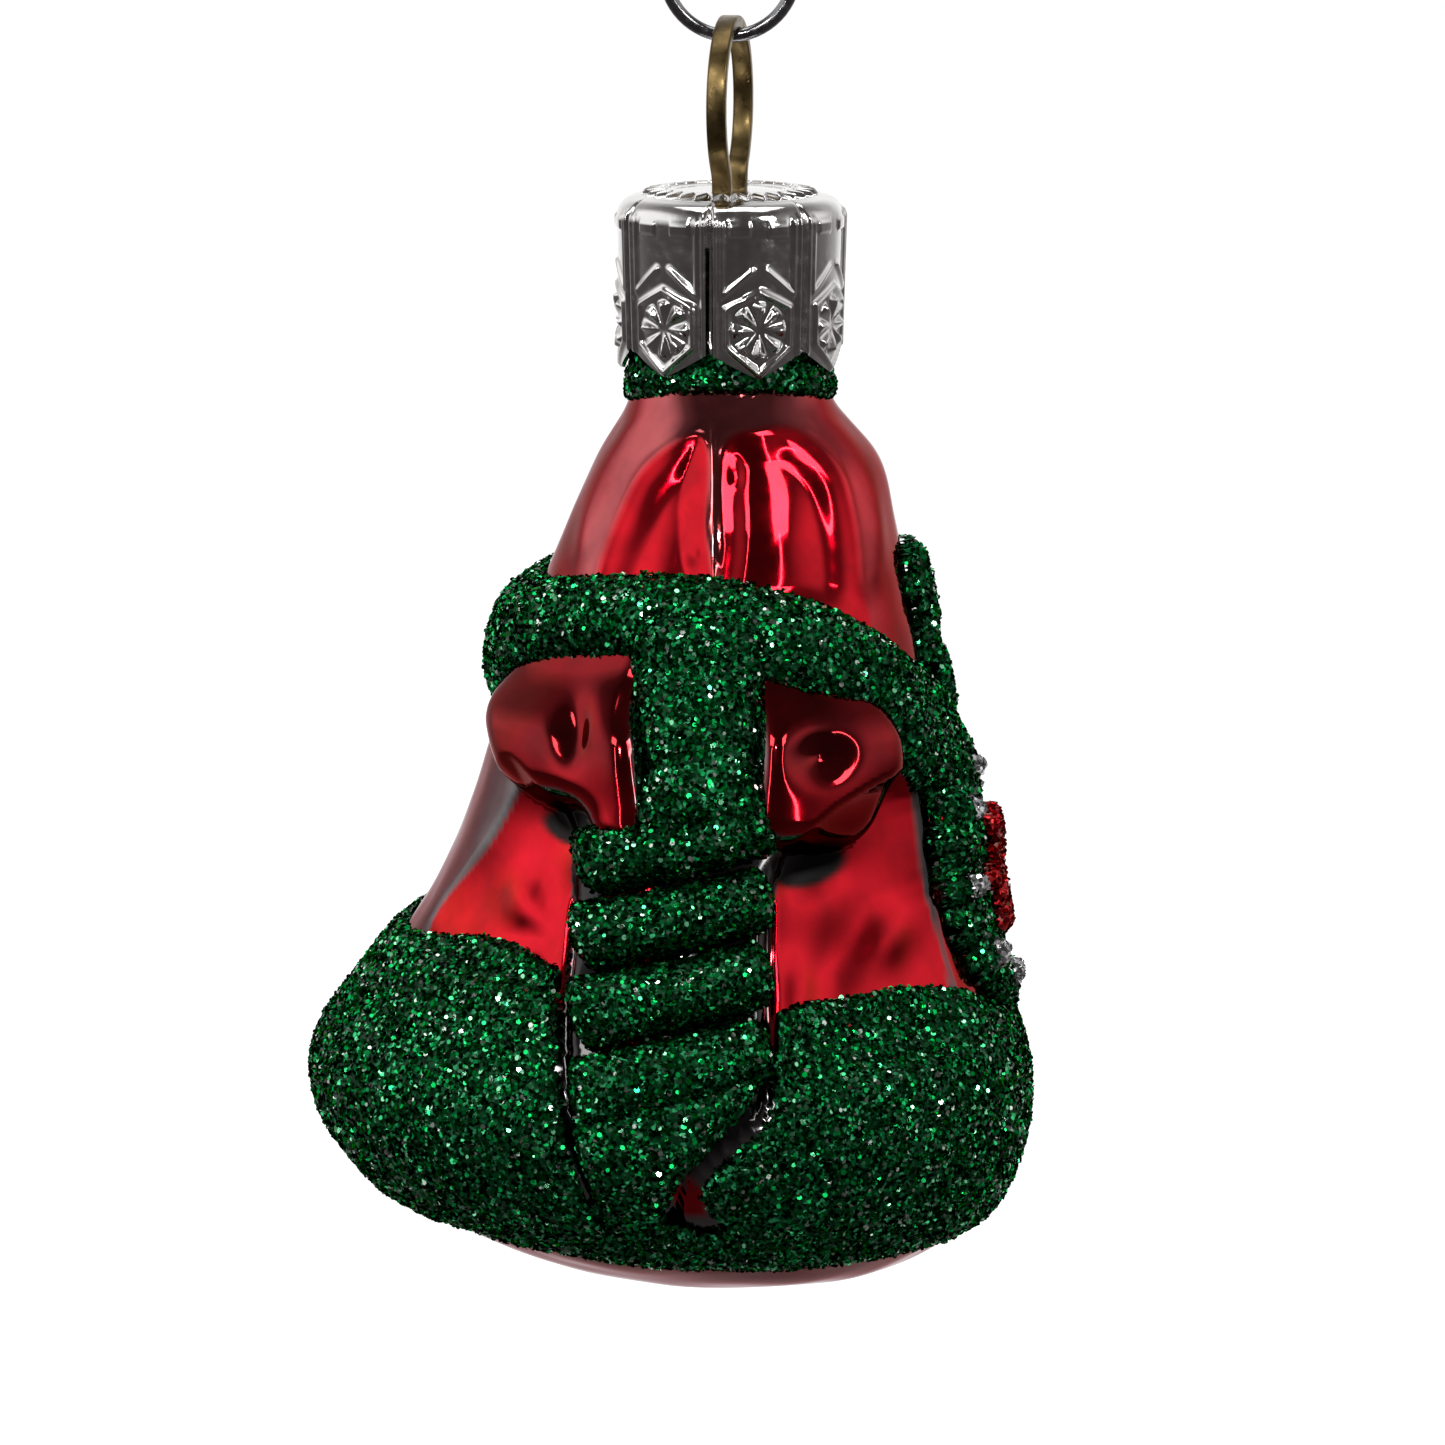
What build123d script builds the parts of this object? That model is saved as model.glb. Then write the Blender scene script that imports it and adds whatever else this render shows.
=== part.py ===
from build123d import *
import os
from math import asin, cos, degrees, pi, radians, sin

# Hollow glass Christmas ornament in the form of a bell, hung by a wire hook.
# Millimetres. +Z is up, +X is the decorated front, and the two mould seams are on the -Y and +Y sides.
# The origin is the inside top of the hook's upper bend, where the branch goes.
# Heights on the ornament are given as depths below the top of its loop, as on a hanging object.

os.makedirs("parts", exist_ok=True)

# Hook
HOOK_WIRE = 0.9
BRANCH_RADIUS = 5.5
HOOK_EYE_RADIUS = 3.9
HOOK_BEND_SPACING = 24.0
HOOK_EYE_TIP = 25.0
HOOK_TOP_TIP = 205.0
LOOP_GAP = 0.12

# Clip: a flat wire bent to a loop with two legs
CLIP_THICK = 0.8
CLIP_WIDE = 1.3
LOOP_RADIUS = 5.5
LEG_SPACING = 6.4
LEG_BEND_RADIUS = 2.0
LEG_STRAIGHT_TO = 18.4
LEG_TIP_DEPTH = 26.0
LEG_TIP_SPACING = 9.0
CLIP_TURN = -9.5

# Cap
CAP_TOP_DEPTH = 11.5
CAP_DOME = 0.5
CAP_SHOULDER = 1.8
CAP_TIP_DEPTH = 23.6
CAP_VALLEY_DEPTH = 21.9
CAP_RADIUS = 7.6
CAP_TIP_RADIUS = 7.3
CAP_SHEET = 0.3
CAP_PANELS = 7
CAP_FIRST_PANEL = 15.0
CAP_SLIT_TOP_DEPTH = 14.9
CAP_SLIT = 0.35
RIB_WIDE = 0.5
RIB_HIGH = 0.5
RIB_LEAN = 4.5
RIB_TOP_GAP = 1.0
RIB_LOW_GAP = 0.6
SLOT_CLEARANCE = 0.1

# Glass
WALL = 0.9
NECK_RADIUS = 6.3
NECK_TOP_DEPTH = 13.0
NECK_ROOT_DEPTH = 27.4
BRIM_DEPTH = 77.0
UNDERSIDE_SHARE = 0.8
# depth, reach to the back, reach to the front, half width across the seams
BELL_STATIONS = [
    (26.0, 6.8, 6.8, 6.8),
    (29.0, 8.6, 9.6, 9.0),
    (33.5, 10.7, 11.1, 11.6),
    (40.0, 13.3, 12.3, 14.2),
    (49.0, 16.2, 14.0, 17.0),
    (60.0, 20.8, 15.8, 20.2),
    (66.5, 25.6, 18.2, 23.2),
    (70.5, 27.7, 19.5, 24.6),
    (75.0, 26.4, 19.5, 24.0),
    (79.5, 22.0, 17.9, 20.4),
    (82.4, 16.0, 14.6, 15.0),
    (84.0, 9.6, 10.6, 9.4),
    (84.7, 3.4, 5.4, 4.0),
]

# Relief of the glass and thickness of the glitter on it
LOBE_SIZE = (5.4, 4.2, 4.8)
LOBE_Y = 12.6
LOBE_PLACES = [(-11.2, 47.4), (7.4, 48.8)]
CORD_RISE = 1.1
BAND_RISE = 1.3
COAT = 0.8
STRAND_COAT = 1.3
COLLAR_TOP_DEPTH = 21.7
COLLAR_TOP_RADIUS = 6.7
COLLAR_LOW_RADIUS = 7.2
STRANDS = 4
STRAND_TOP_DEPTH = 53.1
STRAND_PITCH = 4.75
STRAND_THICK = 4.2
STRAND_SPAN = 12.4
STRAND_SLANT = 13.0
CORD_X = -4.0

# Front decoration
WREATH_DEPTH = 58.2
WREATH_RADIUS = 9.2
WREATH_THICK = 2.4
BEADS = 8
BEAD_RING_RADIUS = 7.4
BEAD_RADIUS = 1.1
BEAD_THICK = 3.0
PETALS = 6
PETAL_LENGTH = 5.0
PETAL_WIDE = 3.0
FLOWER_THICK = 3.4
BOW_DEPTH = 39.2
BOW_THICK = 2.2
BOW_LOOP_LONG = 8.0
BOW_LOOP_HIGH = 5.2
BOW_LEAN = 14.0

REACH = 60.0

# Places that follow from the sizes above
HOOK_R = HOOK_WIRE / 2
EYE_CENTRE_Z = -BRANCH_RADIUS - HOOK_BEND_SPACING
SWING_Z = EYE_CENTRE_Z - HOOK_EYE_RADIUS - HOOK_R
LOOP_TOP_Z = SWING_Z + HOOK_R + LOOP_GAP + CLIP_THICK


def at(depth):
    """Height of a point that lies this far below the top of the loop."""
    return LOOP_TOP_Z - depth


def polar(centre, radius, turn):
    """A point on a circle in the plane between the two seams."""
    return centre + Vector(radius * cos(radians(turn)), 0, radius * sin(radians(turn)))


def wire_hook():
    """S-shaped hook: a small eye below for the loop, a wide bend above for the branch."""
    top = Vector(0, 0, -BRANCH_RADIUS)
    top_r = BRANCH_RADIUS + HOOK_R
    eye = Vector(0, 0, EYE_CENTRE_Z)
    eye_r = HOOK_EYE_RADIUS + HOOK_R
    lean = degrees(asin((top_r + eye_r) / HOOK_BEND_SPACING))
    eye_arc = ThreePointArc(
        polar(eye, eye_r, HOOK_EYE_TIP), polar(eye, eye_r, -90), polar(eye, eye_r, -180 - lean)
    )
    shank = Line(eye_arc @ 1, polar(top, top_r, -lean))
    top_arc = ThreePointArc(shank @ 1, polar(top, top_r, 90), polar(top, top_r, HOOK_TOP_TIP))
    path = Wire([eye_arc, shank, top_arc])
    section = Plane(origin=path @ 0, z_dir=path % 0) * Circle(HOOK_R)
    return sweep(section, path=path)


def clip_half(side):
    """Centre line of half the clip, from the top of the loop to the tip of one leg."""
    half = LEG_SPACING / 2
    reach = LOOP_RADIUS + LEG_BEND_RADIUS
    bend_y = half + LEG_BEND_RADIUS
    drop = (reach**2 - bend_y**2) ** 0.5
    share = LOOP_RADIUS / reach
    centre_depth = CLIP_THICK / 2 + LOOP_RADIUS

    def point(y, depth):
        return (0, side * y, at(depth))

    loop = ThreePointArc(
        point(0, CLIP_THICK / 2),
        point(LOOP_RADIUS, centre_depth),
        point(bend_y * share, centre_depth + drop * share),
    )
    bend = TangentArc(loop @ 1, point(half, centre_depth + drop), tangent=loop % 1)
    leg = Line(bend @ 1, point(half, LEG_STRAIGHT_TO))
    tip = Line(leg @ 1, point(LEG_TIP_SPACING / 2, LEG_TIP_DEPTH))
    return Wire([loop, bend, leg, tip])


def hanger_clip():
    """One flat wire whose wide side lies along the loop's axis."""
    halves = []
    for side in (-1, 1):
        path = clip_half(side)
        start = Plane(origin=path @ 0, x_dir=(1, 0, 0), z_dir=path % 0)
        halves.append(sweep(start * Rectangle(CLIP_WIDE, CLIP_THICK), path=path, transition=Transition.RIGHT))
    return Rot(0, 0, CLIP_TURN) * (halves[0] + halves[1])


def cap():
    """Stamped crown cap: domed top, rounded shoulder, tapered skirt with pointed tips."""
    shell = cap_form(0) + cap_ribs()
    shell -= cap_form(CAP_SHEET)
    shell -= cap_notches()
    shell -= cap_slit()
    shell -= cap_slots()
    return shell


def cap_form(inset):
    """The outside of the cap as a solid, shrunk by inset."""
    shoulder = CAP_SHOULDER - inset
    flat_r = CAP_RADIUS - CAP_SHOULDER
    edge_r = CAP_RADIUS - inset
    tip_r = CAP_TIP_RADIUS - inset
    top = at(CAP_TOP_DEPTH + inset)
    flat = top - CAP_DOME
    bend = flat - shoulder
    inward = flat_r + shoulder * 2**-0.5
    outline = [
        Line((0, 0, top), (flat_r, 0, flat)),
        ThreePointArc((flat_r, 0, flat), (inward, 0, bend + shoulder * 2**-0.5), (edge_r, 0, bend)),
        Line((edge_r, 0, bend), (tip_r, 0, at(CAP_TIP_DEPTH))),
        Line((tip_r, 0, at(CAP_TIP_DEPTH)), (0, 0, at(CAP_TIP_DEPTH))),
        Line((0, 0, at(CAP_TIP_DEPTH)), (0, 0, top)),
    ]
    return revolve(Face(Wire(outline)), axis=Axis.Z)


def panel_angles(offset):
    """Directions of the cap's panels, counted from the near seam towards the front."""
    return [CAP_FIRST_PANEL - 90 + 360 / CAP_PANELS * (i + offset) for i in range(CAP_PANELS)]


def cap_ribs():
    """A pair of upright ribs at each border between two panels."""
    top = CAP_TOP_DEPTH + CAP_SHOULDER + RIB_TOP_GAP
    low = CAP_VALLEY_DEPTH - RIB_LOW_GAP
    ribs = []
    for angle in panel_angles(0.5):
        for lean in (-RIB_LEAN, RIB_LEAN):
            rib = Pos(CAP_TIP_RADIUS, 0, at((top + low) / 2)) * Box(2 * RIB_HIGH, RIB_WIDE, low - top)
            ribs.append(Rot(0, 0, angle + lean) * rib)
    return ribs


def cap_notches():
    """The gaps between the pointed tips."""
    half = pi * CAP_TIP_RADIUS / CAP_PANELS
    corners = [
        (0, 0, at(CAP_VALLEY_DEPTH)),
        (0, half, at(CAP_TIP_DEPTH)),
        (0, half, at(CAP_TIP_DEPTH + 1)),
        (0, -half, at(CAP_TIP_DEPTH + 1)),
        (0, -half, at(CAP_TIP_DEPTH)),
    ]
    face = Face(Wire(Polyline(*corners, close=True).edges()))
    wedge = Pos(CAP_RADIUS / 2, 0, 0) * extrude(face, amount=CAP_RADIUS, dir=(1, 0, 0))
    return [Rot(0, 0, angle) * wedge for angle in panel_angles(0.5)]


def cap_slit():
    """The open joint of the skirt, at one border between two panels."""
    low = CAP_VALLEY_DEPTH + 1
    slit = Box(CAP_RADIUS, CAP_SLIT, low - CAP_SLIT_TOP_DEPTH)
    place = Pos(CAP_RADIUS, 0, at((low + CAP_SLIT_TOP_DEPTH) / 2))
    return Rot(0, 0, panel_angles(-0.5)[0]) * place * slit


def cap_slots():
    """Two holes in the top for the legs of the clip."""
    hole = Box(CLIP_WIDE + 2 * SLOT_CLEARANCE, CLIP_THICK + 2 * SLOT_CLEARANCE, 2 * CAP_SHOULDER)
    places = [Pos(0, side * LEG_SPACING / 2, at(CAP_TOP_DEPTH)) for side in (-1, 1)]
    return [Rot(0, 0, CLIP_TURN) * place * hole for place in places]


def side_prism(top, bottom, inset=0.0):
    """What lies between two curves seen from the side, right through the bell.

    Both curves are lists of (x, depth), top from back to front and bottom from front to back.
    They are drawn closer together by inset, and shortened by it at both ends.
    """
    back = min(x for x, _ in top + bottom)
    front = max(x for x, _ in top + bottom)
    middle = (back + front) / 2
    shorten = 1 - 2 * inset / (front - back)

    def curve(points, shift):
        places = [(middle + (x - middle) * shorten, 0, at(depth + shift)) for x, depth in points]
        return Spline(*places)

    upper = curve(top, inset)
    lower = curve(bottom, -inset)
    outline = Face(Wire([upper, Line(upper @ 1, lower @ 0), lower, Line(lower @ 1, upper @ 0)]))
    return Pos(0, -REACH, 0) * extrude(outline, amount=2 * REACH, dir=(0, 1, 0))


def bell_loft(inset):
    """The plain bell without relief, shrunk by inset, or grown where inset is negative."""
    sections = []
    for depth, back, front, half in BELL_STATIONS:
        under = depth > BRIM_DEPTH
        plane = Plane(
            origin=((front - back) / 2, 0, at(depth - inset * UNDERSIDE_SHARE * under)),
            x_dir=(0, 1, 0),
            z_dir=(0, 0, -1),
        )
        sections.append(plane * Ellipse(half - inset, (front + back) / 2 - inset))
    return loft(sections)


def band_prism(inset):
    """The garland: highest at the seams, lower at the back and lowest at the front."""
    top = [(-22, 39.5), (-13, 37.6), (-6, 36.2), (2, 36.2), (8, 38.6), (12, 42.5), (20, 52)]
    bottom = [(20, 58), (13, 51.5), (6, 45), (0, 42.6), (-7, 42.6), (-13, 44.8), (-22, 49.5)]
    return side_prism(top, bottom, inset)


def stem_prism(inset):
    """The straight upper part of the cord."""
    return side_prism([(-6.2, 42), (-2, 41.6), (2.6, 42)], [(1.6, 52), (-2, 52.6), (-5.8, 52)], inset)


def twist_prism(inset):
    """The twisted part of the cord and its tassel."""
    top = [(-10.4, 52), (-4, 50.6), (2.4, 49.6)]
    bottom = [(2.2, 68), (-1, 74), (-5, 76.5), (-9.6, 70)]
    return side_prism(top, bottom, inset)


def lobe(x, depth, side, inset):
    """One rounded bow loop that stands out of the glass beside the cord."""
    long, out, high = (size - inset for size in LOBE_SIZE)
    return Pos(x, side * LOBE_Y, at(depth)) * scale(Sphere(1), by=(long, out, high))


def bell_form(inset):
    """The glass with its relief: neck, dome, garland, bow loops, cord and rolled brim."""
    neck_top = NECK_TOP_DEPTH - inset
    neck = Cylinder(NECK_RADIUS - inset, NECK_ROOT_DEPTH - neck_top)
    form = bell_loft(inset) + Pos(0, 0, at((NECK_ROOT_DEPTH + neck_top) / 2)) * neck
    form += bell_loft(inset - BAND_RISE) & band_prism(inset)
    cord = bell_loft(inset - CORD_RISE)
    form += cord & stem_prism(inset)
    form += cord & twist_prism(inset)
    for x, depth in LOBE_PLACES:
        for side in (-1, 1):
            form += lobe(x, depth, side, inset)
    return form


def glass_body(outer):
    """Blown glass of even thickness, open only at the neck."""
    return outer - bell_form(WALL)


def neck_collar():
    """Glitter ring round the neck, from under the cap to the dome."""
    height = NECK_ROOT_DEPTH - COLLAR_TOP_DEPTH
    ring = Cone(COLLAR_LOW_RADIUS, COLLAR_TOP_RADIUS, height)
    return Pos(0, 0, at((NECK_ROOT_DEPTH + COLLAR_TOP_DEPTH) / 2)) * ring


def ribbon_band():
    """Glitter on the garland."""
    return bell_loft(-BAND_RISE - COAT) & band_prism(-COAT / 2)


def brim_region():
    """The rolled brim, left open where the cords hang over it."""
    top = [(-REACH, 61), (-22, 61), (-12, 60.2), (2, 62.6), (10, 62.3), (17, 65.5), (REACH, 66)]
    bottom = [(REACH, 81.5), (17, 81.6), (0, 80.8), (-19, 81.0), (-REACH, 81.5)]
    gap = side_prism(
        [(-11.4, 58), (-4, 58), (3.0, 58)], [(3.0, 70), (-0.5, 75), (-5, 78.2), (-10.8, 71)]
    )
    return side_prism(top, bottom) - gap


def brim_coat():
    """Glitter on the rolled brim."""
    return bell_loft(-COAT) & brim_region()


def cord_parts(near):
    """Stem, twisted strands and tassel of the cord on one seam."""
    start, end = (-REACH, 0) if near else (0, REACH)
    half = Pos(0, (start + end) / 2, at(60)) * Box(REACH, end - start, 2 * REACH)
    skin = bell_loft(-CORD_RISE - COAT) & half
    fat = bell_loft(-CORD_RISE - STRAND_COAT) & half
    stem = skin & stem_prism(-COAT / 4)
    strands = [fat & strand_prism(i) for i in range(STRANDS)]
    tassel = skin & side_prism(
        [(-10.0, 71.4), (-4, 70.0), (2.2, 68.0)], [(1.6, 70.8), (-1.4, 75), (-4.6, 77.4), (-9.4, 74.4)]
    )
    return stem, strands, tassel


def strand_prism(number):
    """One fat strand: a slanted bar with round ends."""
    bar = SlotOverall(STRAND_SPAN, STRAND_THICK)
    middle = STRAND_TOP_DEPTH + number * STRAND_PITCH
    plane = Plane(origin=(CORD_X, -REACH, at(middle)), x_dir=(1, 0, 0), z_dir=(0, 1, 0))
    return extrude(plane * Rot(0, 0, -STRAND_SLANT) * bar, amount=2 * REACH)


def front_prism(outline):
    """What lies behind an outline seen from the front, on the front half."""
    plane = Plane(origin=(0, 0, 0), x_dir=(0, 1, 0), z_dir=(1, 0, 0))
    return extrude(plane * outline, amount=REACH)


def ring_places(count, radius):
    """Points evenly spaced round the middle of the wreath."""
    turns = [2 * pi / count * i for i in range(count)]
    return [Pos(radius * cos(turn), at(WREATH_DEPTH) + radius * sin(turn)) for turn in turns]


def front_wreath():
    """Round glitter pad that carries the beads and the flower."""
    disc = Pos(0, at(WREATH_DEPTH)) * Circle(WREATH_RADIUS)
    return bell_loft(-WREATH_THICK) & front_prism(disc)


def wreath_beads():
    """Silver glitter dots in a ring."""
    bead = Circle(BEAD_RADIUS)
    skin = bell_loft(-BEAD_THICK)
    return [skin & front_prism(place * bead) for place in ring_places(BEADS, BEAD_RING_RADIUS)]


def wreath_flower():
    """Red glitter flower in the middle of the wreath."""
    petal = Ellipse(PETAL_LENGTH / 2, PETAL_WIDE / 2)
    outline = Circle(PETAL_WIDE / 2)
    for i in range(PETALS):
        outline += Rot(0, 0, 360 / PETALS * (i + 0.5)) * Pos(PETAL_LENGTH / 2, 0) * petal
    return bell_loft(-FLOWER_THICK) & front_prism(Pos(0, at(WREATH_DEPTH)) * outline)


def front_bow():
    """Bow at the front of the garland: two loops and a knot."""
    outline = Pos(0, at(BOW_DEPTH)) * Circle(BOW_LOOP_HIGH / 2)
    for side in (-1, 1):
        loop = Rot(0, 0, side * BOW_LEAN) * Ellipse(BOW_LOOP_LONG / 2, BOW_LOOP_HIGH / 2)
        outline += Pos(side * BOW_LOOP_LONG / 2, at(BOW_DEPTH)) * loop
    return bell_loft(-BOW_THICK) & front_prism(outline)


def save(name, shape):
    """Write one sub-part and print what it is."""
    export_step(shape, f"parts/{name}.step")
    print(name, round(shape.volume, 1), len(shape.solids()), shape.is_valid)


def main():
    save("wire_hook", wire_hook())
    save("hanger_clip", hanger_clip())
    save("cap", cap())
    glass = bell_form(0)
    save("glass_body", glass_body(glass))
    save("neck_collar", neck_collar() - glass)
    bow = front_bow() - glass
    save("front_bow", bow)
    flower = wreath_flower() - glass
    save("wreath_flower", flower)
    beads = [bead - glass for bead in wreath_beads()]
    save("wreath_beads", Compound(children=beads))
    disc = front_wreath()
    save("front_wreath", disc - glass - flower - beads)
    band = ribbon_band() - glass - bow - disc - beads
    save("ribbon_band", band)
    brim = brim_coat() - glass - disc - beads
    for side in ("near", "far"):
        stem, strands, tassel = cord_parts(side == "near")
        strands = [strand - glass for strand in strands]
        save(side + "_cord_stem", stem - glass - band - strands)
        save(side + "_cord_strands", Compound(children=strands))
        tassel = tassel - glass - brim - strands
        save(side + "_cord_tassel", tassel)
    save("brim_coat", brim)


main()
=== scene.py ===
from math import asin, cos, pi, radians, sin

import bpy
import numpy as np
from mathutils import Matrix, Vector


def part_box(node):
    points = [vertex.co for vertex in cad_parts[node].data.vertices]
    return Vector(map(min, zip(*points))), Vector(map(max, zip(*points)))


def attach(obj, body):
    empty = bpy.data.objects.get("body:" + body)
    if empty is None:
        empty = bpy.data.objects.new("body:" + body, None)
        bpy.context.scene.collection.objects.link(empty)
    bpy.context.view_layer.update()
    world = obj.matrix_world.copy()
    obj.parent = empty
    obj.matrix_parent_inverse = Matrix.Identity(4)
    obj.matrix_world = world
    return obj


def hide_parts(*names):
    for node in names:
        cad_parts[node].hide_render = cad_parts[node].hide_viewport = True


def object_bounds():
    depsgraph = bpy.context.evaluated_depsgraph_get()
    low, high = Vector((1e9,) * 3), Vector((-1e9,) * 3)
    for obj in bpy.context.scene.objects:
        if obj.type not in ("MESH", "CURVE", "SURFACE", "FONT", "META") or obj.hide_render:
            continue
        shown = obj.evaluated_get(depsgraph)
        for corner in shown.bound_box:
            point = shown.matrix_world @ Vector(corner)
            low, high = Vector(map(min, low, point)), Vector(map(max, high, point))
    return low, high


# Blown glass bell ornament, silvered inside, lacquered red outside and trimmed with glitter.
# Shapes are worked out in millimetres, with depth measured downwards from the top of the clip's loop,
# and moved into the row frame (metres) when a mesh is made. +X is the decorated front, and the mould
# seams are at -Y, the near side, and +Y, the far side.

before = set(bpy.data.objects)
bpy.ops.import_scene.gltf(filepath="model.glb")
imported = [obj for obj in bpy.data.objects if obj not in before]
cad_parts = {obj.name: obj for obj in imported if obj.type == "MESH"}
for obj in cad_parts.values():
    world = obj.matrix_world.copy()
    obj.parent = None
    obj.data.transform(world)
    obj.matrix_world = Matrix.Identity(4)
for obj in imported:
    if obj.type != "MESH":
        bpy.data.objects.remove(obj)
cad_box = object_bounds()

MM = 0.001
LOOP_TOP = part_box("hanger_clip")[1].z
rng = np.random.default_rng(20)

# depth, reach to the back, reach to the front, half width across the seams
STATIONS = np.array([
    (24.2, 6.4, 6.4, 6.6),
    (26.0, 6.9, 7.1, 8.2),
    (29.0, 8.6, 9.6, 10.0),
    (33.5, 10.7, 11.1, 12.0),
    (40.0, 13.3, 12.3, 14.2),
    (49.0, 16.2, 14.0, 17.0),
    (60.0, 20.8, 15.8, 20.2),
    (66.5, 25.6, 18.2, 23.2),
    (70.5, 27.7, 19.5, 24.6),
    (75.0, 26.4, 19.5, 24.0),
    (79.5, 22.0, 17.9, 20.4),
    (82.6, 16.4, 15.0, 15.4),
    (84.7, 9.8, 10.8, 9.8),
    (85.4, 3.4, 5.4, 4.0),
    (85.6, -1.0, 1.0, 0.0),
])
WALL = 0.9
INNER_GAP = 3.0
SEAM_RIB = 0.18
SMALL_BUMPS = [(-2.9, 31.6), (-2.6, 34.6), (0.5, 29.6)]
GLASS_COLUMNS = 360
NECK_RADIUS = 6.3
NECK_TOP = 13.0
CAP_TOP = 11.5
CAP_DOME = 0.5
CAP_TIP = 23.6
CAP_VALLEY = 21.9
CAP_RADIUS = 7.6
CAP_TIP_RADIUS = 7.3
CAP_PANELS = 7
CAP_FIRST_PANEL = 15.0
CAP_SHEET = 0.28
CAP_SHOULDER = 1.4
CAP_FLAT = CAP_RADIUS - CAP_SHOULDER
CAP_SKIRT_TOP = CAP_TOP + CAP_DOME + CAP_SHOULDER
CAP_SLIT_TOP = 14.9
SLOT_LOW = 13.0
CAP_ZIGZAGS = 30
CAP_COLUMNS = CAP_PANELS * 80
CAP_ANGLES = (np.arange(CAP_COLUMNS) + 0.5) * 2 * pi / CAP_COLUMNS
CLIP_TURN = -9.5
CLIP_THICK = 0.8
CLIP_WIDE = 1.3
CLIP_LOOP_RADIUS = 5.5
LEG_BEND_RADIUS = 2.0
LEG_OFFSET = 3.2

# Glitter coats: a strip of -COAT_LIP is left outside each edge, so that edges aren't bare
COAT_COLUMNS = 440
COAT_LIP = -0.12
COAT_GRAIN = 0.05
COLLAR_TOP = 21.4
COLLAR_LOW = 26.2
COLLAR_RADIUS = 6.7
GARLAND_HEIGHT = 2.3
BRIM_COAT_HEIGHT = 0.75
STRANDS = 4
STRAND_PITCH = 4.75
STRAND_THICK = 4.25
WREATH_DEPTH = 58.2
WREATH_LEAVES = 16
BEADS = 8
PETALS = 6
# across, depth, half width and half height of the two bow loops and the knot under them
BOW_BUMPS = [(-0.2, 38.4, 1.3, 3.0), (2.4, 38.4, 1.6, 3.0), (0.8, 42.2, 1.9, 6.0)]

# Loose flakes
FLAKE_RADIUS = (0.125, 0.20)
FLAKE_LEAN = 0.40
FLAKE_LIFT = 0.11
FLAKES_PER_PIECE = 45000


# ---------------------------------------------------------------- shape helpers

def spline(places, values):
    """Natural cubic through the points, as a function."""
    places = np.asarray(places, float)
    values = np.asarray(values, float)
    gaps = np.diff(places)
    count = len(places)
    left = np.eye(count)
    right = np.zeros(count)
    for i in range(1, count - 1):
        left[i, i - 1:i + 2] = gaps[i - 1], 2 * (gaps[i - 1] + gaps[i]), gaps[i]
        right[i] = 6 * ((values[i + 1] - values[i]) / gaps[i] - (values[i] - values[i - 1]) / gaps[i - 1])
    bend = np.linalg.solve(left, right)

    def at(where):
        where = np.clip(where, places[0], places[-1])
        i = np.clip(np.searchsorted(places, where, side="right") - 1, 0, count - 2)
        a = (places[i + 1] - where) / gaps[i]
        b = 1 - a
        return (a * values[i] + b * values[i + 1]
                + ((a**3 - a) * bend[i] + (b**3 - b) * bend[i + 1]) * gaps[i] ** 2 / 6)

    return at


def line(points):
    """Smooth curve through (x, depth) points, as depth for a given x."""
    return spline([p[0] for p in points], [p[1] for p in points])


def smooth(value, low, high):
    """Soft step: 0 up to low, 1 from high on."""
    share = np.clip((value - low) / (high - low), 0, 1)
    return share * share * (3 - 2 * share)


def dome(share):
    """Round-over: 0 at the edge, 1 from a share of 1 on, upright at the edge."""
    share = np.clip(share, 0, 1)
    return np.sqrt(np.maximum(1 - (1 - share) ** 2, 0))


def hill(x, y, middle, size):
    """Soft round bump of height 1."""
    return np.exp(-((x - middle[0]) / size[0]) ** 2 - ((y - middle[1]) / size[1]) ** 2)


def rounded(points, steps=8):
    """Closed smooth outline through the points."""
    corners = np.asarray(points, float)
    before, here, after, later = (np.roll(corners, k, 0)[:, None] for k in (1, 0, -1, -2))
    t = (np.arange(steps) / steps)[None, :, None]
    slope = after - before
    bend = 2 * before - 5 * here + 4 * after - later
    twist = 3 * here - before - 3 * after + later
    curve = 0.5 * (2 * here + slope * t + bend * t**2 + twist * t**3)
    return curve.reshape(-1, 2)


def inside(outline, x, y):
    """Distance to a closed outline, positive inside it."""
    a = np.asarray(outline, float)
    b = np.roll(a, -1, 0)
    nearest = np.full(np.shape(x), 1e9)
    within = np.zeros(np.shape(x), bool)
    for (ax, ay), (bx, by) in zip(a, b):
        dx, dy = bx - ax, by - ay
        t = np.clip(((x - ax) * dx + (y - ay) * dy) / (dx * dx + dy * dy + 1e-12), 0, 1)
        nearest = np.minimum(nearest, np.hypot(x - ax - t * dx, y - ay - t * dy))
        if dy:
            crosses = ((ay > y) != (by > y)) & (x < dx * (y - ay) / dy + ax)
            within ^= crosses
    return np.where(within, nearest, -nearest)


def waves(points, length, seed):
    """Soft random bumps of about that length, between -1 and 1."""
    random = np.random.default_rng(seed)
    total = np.zeros(points.shape[:-1])
    for _ in range(14):
        way = random.normal(size=3)
        way *= 2 * pi / (length * random.uniform(0.7, 1.5)) / np.linalg.norm(way)
        total += np.sin(points @ way + random.uniform(0, 2 * pi))
    return total / 5


# ---------------------------------------------------------------- the bell's plain form

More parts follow.
